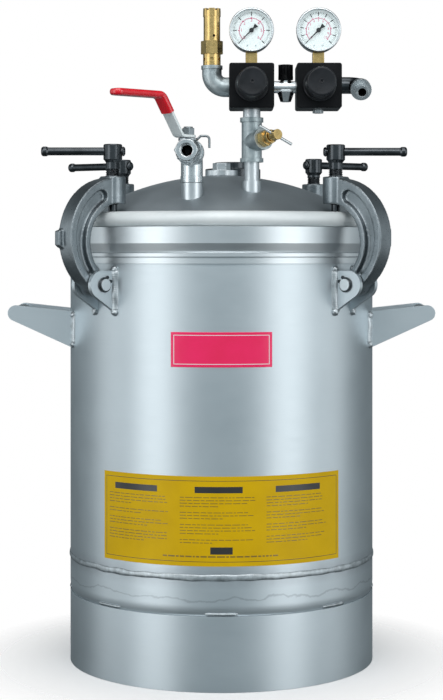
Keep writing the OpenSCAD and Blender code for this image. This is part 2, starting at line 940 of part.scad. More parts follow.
module lug_outline() {
    polygon([
        [arm_out_c.x + arm_out_r - 8, lug_z],
        [arm_out_c.x + arm_out_r + 1, lug_z],
        [arm_out_c.x + arm_out_r + 5, lug_z + 3],
        [arm_out_c.x + arm_out_r + 5, lug_z + 19],
        [arm_out_c.x + arm_out_r - 8, lug_z + 22]
    ]);
}

// Radius of the circle in direction a that touches both edges of the recess
function recess_end_r(a) =
    let (outer = arm_out_r - rim_out, inner = arm_in_r + rim_in)
    let (gap = arm_out_c - arm_in_c, lean = gap * [cos(a), sin(a)])
    (gap * gap + 2 * outer * lean + pow(outer, 2) - pow(inner, 2)) / (2 * (lean + outer + inner));

function recess_end_c(a) = arm_out_c + (arm_out_r - rim_out - recess_end_r(a)) * [cos(a), sin(a)];

// The recess with round ends that gives the arm its I section
module arm_recess() {
    reach = 2 * arm_out_r;
    ends = [for (a = recess_ends) recess_end_c(a)];
    rays = [for (a = recess_ends) arm_out_c + reach * [cos(a), sin(a)]];
    for (i = [0, 1]) translate(ends[i]) circle(r = recess_end_r(recess_ends[i]));
    intersection() {
        difference() {
            translate(arm_out_c) circle(r = arm_out_r - rim_out);
            translate(arm_in_c) circle(r = arm_in_r + rim_in);
        }
        polygon([arm_in_c, ends[0], rays[0], arm_out_c + [reach, 0], rays[1], ends[1]]);
    }
}

module clamp_arm(c) {
    color([0.25, 0.27, 0.28]) at_clamp(c) difference() {
        union() {
            upright(arm_t) arm_outline();
            if (c[3]) translate([0, (lug_t - arm_t) / 2, 0]) upright(lug_t) lug_outline();
            translate([boss_x, 0, boss_z]) cylinder(r = boss_r, h = boss_h);
        }
        for (side = [-1, 1]) upright(2 * recess_depth, side * arm_t / 2) arm_recess();
        translate([boss_x, 0, boss_z - 10]) cylinder(r = spindle_d / 2 + running_gap, h = boss_h + 20);
        upright(arm_t + 2) translate([pin_r, pin_z]) circle(r = pin_d / 2 + running_gap);
    }
}

module spindle(c) {
    r = spindle_d / 2;
    tip_z = bead_top + 0.1;
    thread_z = boss_z + boss_h;
    pitch = 2;
    top = head_top - c[2];
    low = top - head_h;
    turns = 4;
    color([0.3, 0.32, 0.33]) at_clamp(c) translate([boss_x, 0, 0]) difference() {
        rotate_extrude() polygon(concat(
            [[0, tip_z], [4, tip_z], [5, tip_z + 1], [5, boss_z - 1], [r, boss_z + 1]],
            [[r, thread_z + 1]],
            [for (i = [0:turns - 1]) each [
                [r - 1.1, thread_z + 1.5 + i * pitch],
                [r, thread_z + 2.5 + i * pitch]
            ]],
            [[r - 0.3, low - 2.5], [head_r - 1, low], [head_r, low + 1]],
            [[head_r, top - 1], [head_r - 1, top], [0, top]]
        ));
        translate([0, 0, top - bar_drop]) rotate([0, 0, c[1] - c[0]]) rotate([0, 90, 0])
            cylinder(r = bar_d / 2 + running_gap, h = 40, center = true);
    }
}

module tommy_bar(c) {
    r = bar_d / 2;
    knob = r + 1;
    color([0.2, 0.22, 0.23]) at_clamp(c) translate([boss_x, 0, head_top - c[2] - bar_drop])
        rotate([0, 0, c[1] - c[0]]) rotate([0, 90, 0]) rotate_extrude() polygon(concat(
            [[0, -bar_short]],
            arc([knob - bar_edge, bar_edge - bar_short], bar_edge, -90, 0, 8),
            [[knob, -head_r - 0.6], [r, -head_r - 0.1], [r, bar_long - 8], [knob, bar_long - 6]],
            arc([knob - bar_edge, bar_long - bar_edge], bar_edge, 0, 90, 8),
            [[0, bar_long]]
        ));
}

tank_shell();
tank_bottom();
foot_ring();
tank_flange();
clamp_brackets();
hinge_pins();
pin_clips();
handle_plates();
handle_grips();
weld_beads();
label_plates();
lid_dish();
lid_ring();
lid_gasket();
lid_sockets();
blanking_plugs();
port_plug();
riser_tube();
valve_elbow();
valve_body();
stop_wire();
valve_ball();
valve_stem();
valve_lever();
lever_grip();
lever_nut();
pipe_nipples();
vent_tee();
vent_cock_body();
vent_screw();
vent_pin();
regulator_bodies();
regulator_knob_left();
regulator_knob_right();
gauge_stems();
gauge_cases();
gauge_dials();
gauge_lenses();
pointer_left();
pointer_right();
link_valve_body();
link_valve_knob();
safety_elbow();
safety_valve_body();
safety_valve_spring();
safety_valve_disc();
hose_elbow();
hose_tail();
clamp_arm(front_left);  // clamp_arm_front_left
clamp_arm(front_right);  // clamp_arm_front_right
clamp_arm(rear_left);  // clamp_arm_rear_left
clamp_arm(rear_right);  // clamp_arm_rear_right
spindle(front_left);  // spindle_front_left
spindle(front_right);  // spindle_front_right
spindle(rear_left);  // spindle_rear_left
spindle(rear_right);  // spindle_rear_right
tommy_bar(front_left);  // tommy_bar_front_left
tommy_bar(front_right);  // tommy_bar_front_right
tommy_bar(rear_left);  // tommy_bar_rear_left
tommy_bar(rear_right);  // tommy_bar_rear_right
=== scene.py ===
"""Looks of the resin pressure pot: finishes, castings, welds, printed plates and a plain studio."""

import json
import math
import random

import bmesh
import bpy
from mathutils import Matrix, Vector


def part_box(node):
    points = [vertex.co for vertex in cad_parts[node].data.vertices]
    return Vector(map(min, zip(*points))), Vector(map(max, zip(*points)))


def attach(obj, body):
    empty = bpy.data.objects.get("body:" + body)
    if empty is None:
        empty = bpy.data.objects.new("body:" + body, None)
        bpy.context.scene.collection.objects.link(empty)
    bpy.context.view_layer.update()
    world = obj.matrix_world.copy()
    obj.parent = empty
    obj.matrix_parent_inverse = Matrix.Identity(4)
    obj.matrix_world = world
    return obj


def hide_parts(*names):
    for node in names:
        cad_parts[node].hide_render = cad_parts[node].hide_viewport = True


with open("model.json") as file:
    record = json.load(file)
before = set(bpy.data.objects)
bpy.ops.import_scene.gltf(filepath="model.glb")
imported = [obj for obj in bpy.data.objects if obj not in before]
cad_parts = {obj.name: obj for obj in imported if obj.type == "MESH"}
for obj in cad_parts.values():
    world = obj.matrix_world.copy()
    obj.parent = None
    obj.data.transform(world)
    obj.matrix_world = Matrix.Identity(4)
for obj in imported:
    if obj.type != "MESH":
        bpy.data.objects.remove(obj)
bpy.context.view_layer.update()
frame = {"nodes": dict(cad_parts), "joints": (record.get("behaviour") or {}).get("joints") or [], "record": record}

MM = 0.001
NODES = frame["nodes"]
JOINTS = {joint["name"]: joint for joint in frame["joints"]}
CLAMPS = ("front_left", "front_right", "rear_left", "rear_right")
SIDES = ("left", "right")
UP = Vector((0, 0, 1))
random.seed(7)

# Sizes taken from the frame
tank_low, tank_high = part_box("tank_shell")
TANK_R = tank_high.x
WELD_Z = tank_low.z
FOOT_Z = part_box("foot_ring")[1].z
DOME_EDGE_R = 159 * MM

# Welds
GIRTH_HALF_WIDTH = 3.6 * MM
GIRTH_HEIGHT = 1.1 * MM
RIPPLE_PITCH = 2.4 * MM
STITCHES = 8
STITCH_HALF_ANGLE = 5.8
EAR_FACE = 17 * MM
PLATE_FACE = 50.25 * MM

# Printed plates on the barrel
PANEL_HALF_ANGLE = 46.9
PANEL_H = 97.2 * MM
PANEL_T = 0.3 * MM
BADGE_HALF_ANGLE = 18
BADGE_H = 38 * MM
BADGE_T = 0.5 * MM
INK_T = 0.04 * MM

# Ball valve lever
STRAP_W = 16.5 * MM
STRAP_T = 3 * MM
SLEEVE_W = 17.8 * MM
SLEEVE_T = 7.4 * MM
SLEEVE_START = 0.58
LEVER_FLAT = 13 * MM
LEVER_RUN = 26.5 * MM

# Gauge dials
DIAL_SWEEP = 270
DIAL_START = 225
DIAL_STEPS = {"left": 6, "right": 10}
DIAL_GLOW = 0.26

# Camera
CAMERA_DISTANCE = 2.055
CAMERA_HEIGHT = 0.4785
CAMERA_LENS = 89.4
CAMERA_SHIFT = -0.143

# Room brightness from straight down (0) to straight up (1), and its share behind the pot
ROOM_STOPS = ((0.0, 0.12), (0.30, 0.18), (0.47, 0.55), (0.62, 0.50), (0.84, 0.17), (1.0, 0.30))
ROOM_TINT = (0.83, 0.98, 1.05)
ROOM_BEHIND = 0.32

# Softboxes: name, azimuth and elevation in degrees, distance, width and height in metres, radiance
SOFTBOXES = (
    ("key_left", -48, 4, 2.0, 0.98, 2.2, 1.5),
    ("side_left", -88, 4, 2.0, 0.8, 2.0, 0.70),
    ("key_right", 48, 4, 2.0, 0.98, 2.2, 1.5),
    ("side_right", 88, 4, 2.0, 0.8, 2.0, 0.70),
    ("front_top", 0, 42, 2.2, 2.2, 1.0, 3.0),
    ("top", 0, 84, 1.9, 1.2, 1.2, 1.7),
)


# ---------- node trees ----------

class Shader:
    """One material's node tree, built with short calls."""

    def __init__(self, name, metallic=0.0, roughness=0.5):
        self.material = bpy.data.materials.new(name)
        self.material.use_nodes = True
        self.tree = self.material.node_tree
        self.surface = self.tree.nodes["Principled BSDF"]
        self.place = self.node("TexCoord").outputs["Object"]
        self.put("Metallic", metallic)
        self.put("Roughness", roughness)

    def node(self, kind, **settings):
        made = self.tree.nodes.new("ShaderNode" + kind)
        for name, value in settings.items():
            setattr(made, name, value)
        return made

    def feed(self, socket, value):
        """Sets a socket to a number or colour, or links another socket to it."""
        if isinstance(value, bpy.types.NodeSocket):
            self.tree.links.new(value, socket)
        else:
            socket.default_value = value

    def put(self, name, value):
        self.feed(self.surface.inputs[name], value)

    def noise(self, scale, detail=3.0, stretch=(1, 1, 1), roughness=0.55):
        mapping = self.node("Mapping")
        self.feed(mapping.inputs["Vector"], self.place)
        self.feed(mapping.inputs["Scale"], stretch)
        made = self.node("TexNoise")
        self.feed(made.inputs["Vector"], mapping.outputs["Vector"])
        self.feed(made.inputs["Scale"], scale)
        self.feed(made.inputs["Detail"], detail)
        self.feed(made.inputs["Roughness"], roughness)
        return made.outputs["Fac"]

    def cells(self, scale):
        made = self.node("TexVoronoi")
        self.feed(made.inputs["Vector"], self.place)
        self.feed(made.inputs["Scale"], scale)
        return made.outputs["Color"]

    def span(self, value, low, high, start=0.3, end=0.7):
        made = self.node("MapRange")
        self.feed(made.inputs["Value"], value)
        self.feed(made.inputs["From Min"], start)
        self.feed(made.inputs["From Max"], end)
        self.feed(made.inputs["To Min"], low)
        self.feed(made.inputs["To Max"], high)
        return made.outputs["Result"]

    def math(self, operation, a, b=0.0):
        made = self.node("Math", operation=operation)
        self.feed(made.inputs[0], a)
        self.feed(made.inputs[1], b)
        return made.outputs[0]

    def mix(self, factor, a, b):
        made = self.node("Mix", data_type="RGBA")
        self.feed(made.inputs["Factor"], factor)
        self.feed(made.inputs["A"], (*a, 1) if isinstance(a, tuple) else a)
        self.feed(made.inputs["B"], (*b, 1) if isinstance(b, tuple) else b)
        return made.outputs["Result"]

    def bump(self, height, depth, normal=None):
        made = self.node("Bump")
        self.feed(made.inputs["Strength"], 1.0)
        self.feed(made.inputs["Distance"], depth)
        self.feed(made.inputs["Height"], height)
        if normal is not None:
            self.feed(made.inputs["Normal"], normal)
        return made.outputs["Normal"]

    def soft_edges(self, radius):
        made = self.node("Bevel", samples=4)
        self.feed(made.inputs["Radius"], radius)
        return made.outputs["Normal"]

    def edge_wear(self, radius):
        """1 along edges and 0 on open faces."""
        made = self.node("VectorMath", operation="DOT_PRODUCT")
        self.feed(made.inputs[0], self.soft_edges(radius))
        self.feed(made.inputs[1], self.node("NewGeometry").outputs["Normal"])
        return self.span(made.outputs["Value"], 1.0, 0.0, 0.80, 0.995)


def scaled(colour, factor):
    return tuple(channel * factor for channel in colour)


# ---------- finishes ----------

def metal(name, colour, roughness, mottle=0.10, mottle_scale=35, grain=500, stretch=(1, 1, 1),
          depth=0.02 * MM, spread=0.07, edge=0.35 * MM, metallic=1.0):
    """A metal with uneven tone, uneven polish and a fine grain that may be drawn out along an axis."""
    s = Shader(name, metallic=metallic)
    tone = s.span(s.noise(mottle_scale, detail=4), 0, 1)
    s.put("Base Color", s.mix(tone, scaled(colour, 1 - mottle), scaled(colour, 1 + mottle)))
    fine = s.noise(grain, detail=2, stretch=stretch)
    even = s.span(tone, roughness, roughness + spread, 0, 1)
    polish = s.math("ADD", s.span(fine, -spread / 2, spread / 2), even)
    s.put("Roughness", polish)
    s.put("Normal", s.bump(fine, depth, s.soft_edges(edge)))
    return s


def stainless():
    """Satin sheet with fine lines round it, a tint beside the girth weld and a tide line over the foot."""
    s = metal("stainless", (0.60, 0.655, 0.685), 0.40, mottle=0.05, mottle_scale=9, grain=60,
              stretch=(0.5, 0.5, 14), depth=0.012 * MM, spread=0.05)
    height = s.node("SeparateXYZ")
    s.feed(height.inputs["Vector"], s.place)
    z = height.outputs["Z"]
    wander = s.span(s.noise(16, detail=5), -7 * MM, 7 * MM)
    tide = s.math("ABSOLUTE", s.math("SUBTRACT", s.math("SUBTRACT", z, WELD_Z - 24 * MM), wander))
    line = s.span(tide, 0.3, 0.0, 0.3 * MM, 1.3 * MM)
    scorch = s.math("ABSOLUTE", s.math("SUBTRACT", z, WELD_Z))
    tint = s.math("MULTIPLY", s.span(scorch, 0.45, 0.0, 3 * MM, 13 * MM), s.span(s.noise(60), 0.4, 1))
    base = s.surface.inputs["Base Color"].links[0].from_socket
    tinted = s.mix(tint, base, (0.36, 0.37, 0.40))
    s.put("Base Color", s.mix(line, tinted, (0.16, 0.18, 0.20)))
    return s.material


def blasted():
    """Bead-blasted dome, dull and dark. Its rolled edge is painted pale and far less metallic, a painted sheen for
    the bright light that it catches.
    """
    s = metal("blasted", (0.36, 0.40, 0.425), 0.50, mottle=0.10, mottle_scale=14, grain=1500,
              depth=0.05 * MM, spread=0.06)
    flat = s.node("VectorMath", operation="MULTIPLY")
    s.feed(flat.inputs[0], s.place)
    s.feed(flat.inputs[1], (1, 1, 0))
    radius = s.node("VectorMath", operation="LENGTH")
    s.feed(radius.inputs[0], flat.outputs["Vector"])
    # Painted sheen: beyond DOME_EDGE_R the rolled edge gets a pale colour and little metal shine to show the light
    # it catches.
    rim = s.span(radius.outputs["Value"], 0, 1, DOME_EDGE_R, DOME_EDGE_R + 5 * MM)
    base = s.surface.inputs["Base Color"].links[0].from_socket
    cloud = s.span(s.noise(26, detail=4), 0, 1)
    s.put("Base Color", s.mix(rim, base, s.mix(cloud, (0.74, 0.78, 0.785), (0.82, 0.85, 0.85))))
    s.put("Metallic", s.span(rim, 0.85, 0.2, 0, 1))
    return s.material


def machined():
    s = metal("machined", (0.66, 0.70, 0.72), 0.34, mottle=0.05, mottle_scale=12, grain=80,
              stretch=(0.5, 0.5, 16), depth=0.006 * MM, spread=0.06)
    return s.material


def weld_metal():
    s = metal("weld_metal", (0.50, 0.54, 0.56), 0.36, mottle=0.25, mottle_scale=150, grain=900,
              depth=0.03 * MM, spread=0.12)
    return s.material


def cast():
    """Blackened casting: sand texture, rubbed grey along its edges and over its high spots."""
    s = Shader("cast", metallic=0.9)
    sand = s.noise(420, detail=5, roughness=0.65)
    cloud = s.noise(30, detail=4)
    body = s.mix(s.span(cloud, 0, 1), (0.18, 0.205, 0.22), (0.29, 0.325, 0.345))
    s.put("Base Color", s.mix(s.math("MULTIPLY", s.edge_wear(1.6 * MM), 0.4), body, (0.50, 0.53, 0.54)))
    s.put("Roughness", s.span(sand, 0.25, 0.38))
    s.put("Normal", s.bump(cloud, 0.25 * MM, s.bump(sand, 0.07 * MM, s.soft_edges(0.8 * MM))))
    return s.material


def black_steel():
    s = metal("black_steel", (0.075, 0.082, 0.088), 0.18, mottle=0.25, mottle_scale=60, grain=300,
              stretch=(1, 1, 6), depth=0.006 * MM, spread=0.08, edge=0.5 * MM)
    base = s.surface.inputs["Base Color"].links[0].from_socket
    s.put("Base Color", s.mix(s.math("MULTIPLY", s.edge_wear(0.5 * MM), 0.25), base, (0.40, 0.42, 0.44)))
    return s.material


def galvanised():
    """Zinc-coated malleable iron: cloudy spangles over an uneven cast skin."""
    s = Shader("galvanised", metallic=0.9)
    spangle = s.cells(330)
    cloud = s.noise(110, detail=5)
    soft = s.mix(0.72, spangle, s.span(cloud, 0, 1))
    s.put("Base Color", s.mix(soft, (0.32, 0.375, 0.39), (0.58, 0.645, 0.66)))
    s.put("Roughness", s.span(cloud, 0.33, 0.50))
    s.put("Normal", s.bump(cloud, 0.35 * MM, s.bump(s.noise(500), 0.06 * MM, s.soft_edges(0.6 * MM))))
    return s.material


def plated():
    s = metal("plated", (0.70, 0.735, 0.75), 0.23, mottle=0.10, mottle_scale=60, grain=260, depth=0.012 * MM,
              spread=0.10, edge=0.45 * MM)
    return s.material


def strap_steel():
    """Dull zinc plate that scatters more light than it mirrors."""
    s = metal("strap_steel", (0.74, 0.785, 0.785), 0.36, mottle=0.05, metallic=0.3)
    return s.material


def nut_steel():
    s = metal("nut_steel", (0.30, 0.33, 0.345), 0.24, mottle=0.12)
    return s.material


def brass():
    s = metal("brass", (0.70, 0.49, 0.20), 0.20, mottle=0.14, mottle_scale=70, grain=300,
              stretch=(0.6, 0.6, 8), depth=0.02 * MM, spread=0.10)
    base = s.surface.inputs["Base Color"].links[0].from_socket
    patina = s.span(s.noise(240, detail=5), 0, 0.45, 0.5, 0.75)
    s.put("Base Color", s.mix(patina, base, (0.36, 0.235, 0.07)))
    return s.material


def black_plastic():
    """Moulded plastic with a fine spark-eroded texture that is rubbed smoother in patches."""
    s = Shader("black_plastic")
    rub = s.noise(45, detail=4)
    s.put("Base Color", s.mix(s.span(rub, 0, 1), (0.003, 0.0032, 0.004), (0.008, 0.0085, 0.010)))
    s.put("Specular IOR Level", 0.15)
    s.put("Roughness", s.span(rub, 0.32, 0.46))
    s.put("Normal", s.bump(s.noise(1400, detail=2), 0.035 * MM, s.soft_edges(0.9 * MM)))
    return s.material


def knob_plastic():
    s = Shader("knob_plastic")
    rub = s.noise(60, detail=4)
    s.put("Base Color", s.mix(s.span(rub, 0, 1), (0.006, 0.007, 0.009), (0.014, 0.016, 0.020)))
    s.put("Specular IOR Level", 0.36)
    s.put("Roughness", s.span(rub, 0.30, 0.44))
    s.put("Normal", s.bump(s.noise(900, detail=2), 0.06 * MM))
    return s.material


# Painted shade: a near-black metal for the valve ball, standing for the shadow deep inside the valve instead of
# its own plating.
def dark_bore():
    s = metal("dark_bore", (0.012, 0.013, 0.014), 0.5, mottle=0.3)
    return s.material


def red_vinyl():
    """Dip-moulded vinyl with a faint orange-peel skin."""
    s = Shader("red_vinyl")
    s.put("Base Color", s.mix(s.span(s.noise(70), 0, 1), (0.66, 0.003, 0.012), (0.82, 0.006, 0.022)))
    s.put("Roughness", s.span(s.noise(120), 0.16, 0.26))
    s.put("Coat Weight", 0.8)
    s.put("Coat Roughness", 0.1)
    s.put("Normal", s.bump(s.noise(260, detail=2), 0.10 * MM))
    return s.material


def rubber():
    s = Shader("rubber")
    s.put("Base Color", s.mix(s.span(s.noise(90), 0, 1), (0.018, 0.018, 0.019), (0.04, 0.04, 0.042)))
    s.put("Roughness", s.span(s.noise(200), 0.65, 0.85))
    s.put("Normal", s.bump(s.noise(900), 0.05 * MM))
    return s.material


def dial_face():
    s = Shader("dial_face")
    s.put("Base Color", s.mix(s.span(s.noise(50), 0, 1), (0.86, 0.90, 0.90), (0.91, 0.945, 0.94)))
    s.put("Roughness", s.span(s.noise(300), 0.40, 0.55))
    s.put("Emission Color", (0.95, 1.0, 1.0, 1))
    s.put("Emission Strength", DIAL_GLOW)
    s.put("Normal", s.bump(s.noise(1200), 0.01 * MM))
    return s.material


def clear_window():
    """Thin clear plastic: light passes straight through, with a glint that grows towards grazing angles."""
    s = Shader("clear_window")
    see = s.node("BsdfTransparent")
    glint = s.node("BsdfGlossy")
    s.feed(see.inputs["Color"], (0.96, 0.975, 0.975, 1))
    s.feed(glint.inputs["Roughness"], s.span(s.noise(90), 0.03, 0.07))
    facing = s.node("Fresnel")
    s.feed(facing.inputs["IOR"], 1.49)
    front = s.math("SUBTRACT", 1, s.node("NewGeometry").outputs["Backfacing"])
    both = s.node("MixShader")
    s.feed(both.inputs["Fac"], s.math("MULTIPLY", facing.outputs["Fac"], front))
    s.feed(both.inputs[1], see.outputs["BSDF"])
    s.feed(both.inputs[2], glint.outputs["BSDF"])
    output = s.tree.nodes["Material Output"]
    s.feed(output.inputs["Surface"], both.outputs["Shader"])
    return s.material


def film(name, low, high, roughness, coat=0.4, specular=0.5):
    """Printed film with slightly uneven ink under a thin clear coat."""
    s = Shader(name)
    s.put("Base Color", s.mix(s.span(s.noise(30, detail=4), 0, 1), low, high))
    s.put("Roughness", s.span(s.noise(160), roughness, roughness + 0.08))
    s.put("Specular IOR Level", specular)
    s.put("Coat Weight", coat)
    s.put("Coat Roughness", 0.22)
    s.put("Normal", s.bump(s.noise(35, detail=2), 0.05 * MM))
    return s.material


FINISHES = {
    "stainless": stainless(),
    "machined": machined(),
    "blasted": blasted(),
    "cast": cast(),
    "black_steel": black_steel(),
    "galvanised": galvanised(),
    "plated": plated(),
    "brass": brass(),
    "black_plastic": black_plastic(),
    "red_vinyl": red_vinyl(),
    "rubber": rubber(),
    "dial": dial_face(),
    "lens": clear_window(),
    "label": film("yellow_film", (0.62, 0.375, 0.0), (0.69, 0.425, 0.0), 0.45, coat=0.03, specular=0.15),
}
WELD = weld_metal()
KNOB = knob_plastic()
BALL_SHADE_PAINT = dark_bore()
STRAP = strap_steel()
NUT = nut_steel()
BADGE_RED = film("badge_red", (0.86, 0.002, 0.09), (0.94, 0.004, 0.12), 0.16, coat=0.5)
BADGE_LINE = film("badge_line", (0.74, 0.75, 0.76), (0.82, 0.83, 0.84), 0.3)
BLACK_INK = film("black_ink", (0.012, 0.012, 0.012), (0.022, 0.022, 0.02), 0.36)
GREY_INK = film("grey_ink", (0.20, 0.125, 0.004), (0.25, 0.155, 0.006), 0.36)
DIAL_BLACK = film("dial_black", (0.012, 0.012, 0.014), (0.02, 0.02, 0.022), 0.4, coat=0.0)
DIAL_RED = film("dial_red", (0.80, 0.01, 0.16), (0.88, 0.02, 0.22), 0.4, coat=0.0)


# ---------- meshes ----------

def paint(obj, material):
    obj.data.materials.clear()
    obj.data.materials.append(material)


def piece(name, bm, body, material, stands_for=(), sharp=38):
    """Turns a bmesh into a piece that rides on a body and may stand for CAD nodes."""
    bmesh.ops.remove_doubles(bm, verts=bm.verts, dist=1e-7)
    bmesh.ops.recalc_face_normals(bm, faces=bm.faces)
    mesh = bpy.data.meshes.new(name)
    bm.to_mesh(mesh)
    bm.free()
    mesh.polygons.foreach_set("use_smooth", [True] * len(mesh.polygons))
    mesh.set_sharp_from_angle(angle=math.radians(sharp))
    obj = bpy.data.objects.new(name, mesh)
    bpy.context.scene.collection.objects.link(obj)
    paint(obj, material)
    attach(obj, body)
    if stands_for:
        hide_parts(*stands_for)
    return obj


def skin(bm, rings, closed_path=False, closed_ring=True, capped=True):
    """Joins rings of vertices into a tube, with flat ends where the path is open."""
    count = len(rings)
    size = len(rings[0])
    for i in range(count if closed_path else count - 1):
        here, there = rings[i], rings[(i + 1) % count]
        for k in range(size if closed_ring else size - 1):
            n = (k + 1) % size
            bm.faces.new((here[k], here[n], there[n], there[k]))
    if capped and not closed_path:
        bm.faces.new(rings[0])
        bm.faces.new(reversed(rings[-1]))


def add_ring(bm, points):
    return [bm.verts.new(p) for p in points]


def turned(bm, profile, origin, axis, segments=96):
    """Turns a closed outline of (radius, distance along the axis) points about an axis."""
    aim = UP.rotation_difference(axis)
    rings = []
    for i in range(segments):
        a = math.tau * i / segments
        rings.append(add_ring(bm, [
            origin + aim @ Vector((r * math.cos(a), r * math.sin(a), h)) for r, h in profile]))
    skin(bm, rings, closed_path=True)


def arc_points(centre, radius, start, end, steps):
    """(radius, height) points along an arc about centre, from start to end degrees."""
    angles = [math.radians(start + (end - start) * i / steps) for i in range(steps + 1)]
    return [(centre[0] + radius * math.cos(a), centre[1] + radius * math.sin(a)) for a in angles]


def on_barrel(radius, angle, z):
    """A point on the barrel. Angle 0 faces the front and grows towards +X, in degrees."""
    a = math.radians(angle)
    return Vector((radius * math.sin(a), -radius * math.cos(a), z))


def barrel_patch(bm, low, high, a0, a1, z0, z1):
    """A closed plate wrapped on the barrel between two radii, two angles and two heights."""
    steps = max(1, round((a1 - a0) / 1.5))
    rings = []
    for i in range(steps + 1):
        a = a0 + (a1 - a0) * i / steps
        rings.append(add_ring(bm, [
            on_barrel(low, a, z0), on_barrel(high, a, z0), on_barrel(high, a, z1), on_barrel(low, a, z1)]))
    skin(bm, rings)


def drift(seed, waves=5):
    """A smooth random function of one variable that stays between about -1 and 1."""
    rng = random.Random(seed)
    parts = [(rng.uniform(0.6, 3.2), rng.uniform(0, math.tau)) for _ in range(waves)]
    return lambda x: sum(math.sin(rate * x + phase) for rate, phase in parts) / math.sqrt(2 * waves)


def bead(bm, path, half_width, height, seed, closed=False, fade=4 * MM):
    """A rippled weld bead. The path holds (point, outward, across) vectors at even steps."""
    fat = drift(seed)
    lean = drift(seed + 1)
    points = [p for p, _, _ in path]
    step = (points[1] - points[0]).length
    length = step * (len(points) if closed else len(points) - 1)
    sweep = [math.radians(t) for t in (-90, -62, -36, -12, 12, 36, 62, 90)]
    rings = []
    for i, (point, out, across) in enumerate(path):
        s = i * step
        ends = 1.0 if closed else min(1.0, math.sqrt(max(0.02, min(s, length - s) / fade)))
        w = half_width * (1 + 0.12 * fat(s / (14 * MM))) * (0.55 + 0.45 * ends)
        h = height * (1 + 0.16 * lean(s / (11 * MM))) * ends
        ring = []
        for t in sweep:
            phase = (s + 0.5 * half_width * math.sin(t) ** 2) / RIPPLE_PITCH
            scale = 0.86 + 0.14 * abs(math.sin(math.pi * phase))
            ring.append(point + out * (h * scale * math.cos(t)) + across * (w * scale * math.sin(t)))
        ring.append(point + across * w * 0.6 - out * 0.4 * MM)
        ring.append(point - across * w * 0.6 - out * 0.4 * MM)
        rings.append(add_ring(bm, ring))
    skin(bm, rings, closed_path=closed)


def filleted(corners, radius, steps=8):
    """(distance, height) points along a bent line, with its inner corners rounded."""
    path = [Vector(corners[0])]
    for before, corner, after in zip(corners, corners[1:], corners[2:]):
        corner = Vector(corner)
        back = (Vector(before) - corner).normalized()
        ahead = (Vector(after) - corner).normalized()
        half = back.angle(ahead) / 2
        reach = radius / math.tan(half)
        centre = corner + (back + ahead).normalized() * (radius / math.sin(half))
        start = corner + back * reach - centre
        end = corner + ahead * reach - centre
        turn = start.angle_signed(end)
        for i in range(steps + 1):
            path.append(centre + Matrix.Rotation(-turn * i / steps, 2) @ start)
    path.append(Vector(corners[-1]))
    return path


def subdivided(path, longest):
    """The same line with no step longer than a given length."""
    out = [path[0]]
    for a, b in zip(path, path[1:]):
        count = max(1, math.ceil((b - a).length / longest))
        out += [a + (b - a) * i / count for i in range(1, count + 1)]
    return out


def strip(bm, path, half_width, thickness, corner, place, round_start, round_end):
    """A flat bar with rounded corners along a (distance, height) path, with rounded ends in plan."""
    ahead = [0.0]
    for a, b in zip(path, path[1:]):
        ahead.append(ahead[-1] + (b - a).length)
    total = ahead[-1]
    rings = []
    for i, point in enumerate(path):
        tangent = (path[min(i + 1, len(path) - 1)] - path[max(i - 1, 0)]).normalized()
        normal = Vector((-tangent.y, tangent.x))
        near = min(
            ahead[i] / half_width if round_start else 1.0,
            (total - ahead[i]) / half_width if round_end else 1.0,
        )
        near = min(1.0, max(0.02, near))
        w = half_width * math.sqrt(1 - (1 - near) ** 2)
        t = thickness / 2 * (0.4 + 0.6 * math.sqrt(1 - (1 - min(1.0, 1.5 * near)) ** 2))
        c = min(corner, w * 0.9, t * 0.98)
        ring = []
        for q in range(4):
            cx = (w - c) * (1 if q in (0, 3) else -1)
            cy = (t - c) * (1 if q < 2 else -1)
            for k in range(6):
                a = math.radians(90 * q + 18 * k)
                across = cx + c * math.cos(a)
                lift = point + normal * (cy + c * math.sin(a))
                ring.append(place(lift.x, across, lift.y))
        rings.append(add_ring(bm, ring))
    skin(bm, rings)


# ---------- CAD nodes ----------

def finish_cad_nodes():
    """Gives every CAD node the finish that its material slot names, then repaints the pointers, the lever nut and
    the stop wire, and gives the valve ball near-black metal as painted shade.
    """
    for row in frame["record"]["subparts"]:
        paint(NODES[row["node"]], FINISHES[row["material_slot"]])
    for side in SIDES:
        paint(NODES["pointer_" + side], DIAL_BLACK)
    # Painted shade: the valve ball is darkened for the shadow inside the valve.
    paint(NODES["valve_ball"], BALL_SHADE_PAINT)
    paint(NODES["lever_nut"], NUT)
    paint(NODES["stop_wire"], NUT)


def ease_edges():
    """Small real bevels on the plates, blocks and hexagons that catch the light along their edges."""
    widths = {
        "regulator_bodies": 1.2, "valve_body": 0.4, "lever_nut": 0.5,
        "gauge_stems": 0.6, "blanking_plugs": 0.6, "port_plug": 1.0,
        "vent_cock_body": 0.4, "link_valve_body": 0.4, "link_valve_knob": 0.6,
    }
    for name, width in widths.items():
        obj = NODES[name]
        if "custom_normal" in obj.data.attributes:
            obj.data.attributes.remove(obj.data.attributes["custom_normal"])
        obj.data.polygons.foreach_set("use_smooth", [True] * len(obj.data.polygons))
        weld = obj.modifiers.new("weld", "WELD")
        weld.merge_threshold = 1e-6
        bevel = obj.modifiers.new("bevel", "BEVEL")
        bevel.width = width * MM
        bevel.segments = 2
        bevel.limit_method = "ANGLE"
        bevel.angle_limit = math.radians(40)
        bevel.harden_normals = True
        bevel.use_clamp_overlap = False


# ---------- castings ----------

